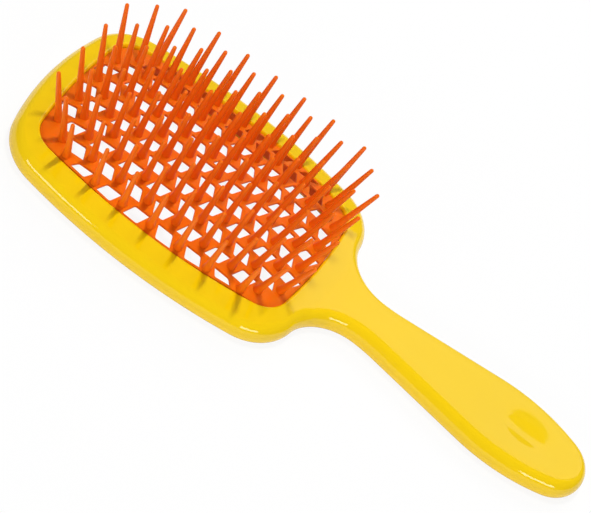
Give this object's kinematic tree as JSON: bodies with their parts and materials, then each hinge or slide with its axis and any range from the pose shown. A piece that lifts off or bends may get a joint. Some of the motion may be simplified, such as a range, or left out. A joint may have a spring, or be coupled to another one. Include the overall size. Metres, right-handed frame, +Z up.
{
  "type": "detangling hairbrush",
  "caption": "Detangling hairbrush with a glossy flared handle and ring frame holding a domed open lattice pad of long tapered pins.",
  "frame": {"origin": "middle of the footprint on the table, with the brush lying on its back and its pins up", "axes": "+X from the head end to the handle end, +Z up along the middle pins, +Y across the head"},
  "size_m": [0.21, 0.088, 0.0351],
  "materials": {
    "frame_yellow": "glossy moulded",
    "pad_orange": "satin moulded"
  },
  "bodies": {
    "root": {"handle_frame": "frame_yellow", "pad_lattice": "pad_orange", "pin_row_01": "pad_orange", "pin_row_02": "pad_orange", "pin_row_03": "pad_orange", "pin_row_04": "pad_orange", "pin_row_05": "pad_orange", "pin_row_06": "pad_orange", "pin_row_07": "pad_orange", "pin_row_08": "pad_orange", "pin_row_09": "pad_orange", "pin_row_10": "pad_orange", "pin_row_11": "pad_orange"}
  },
  "joints": []
}
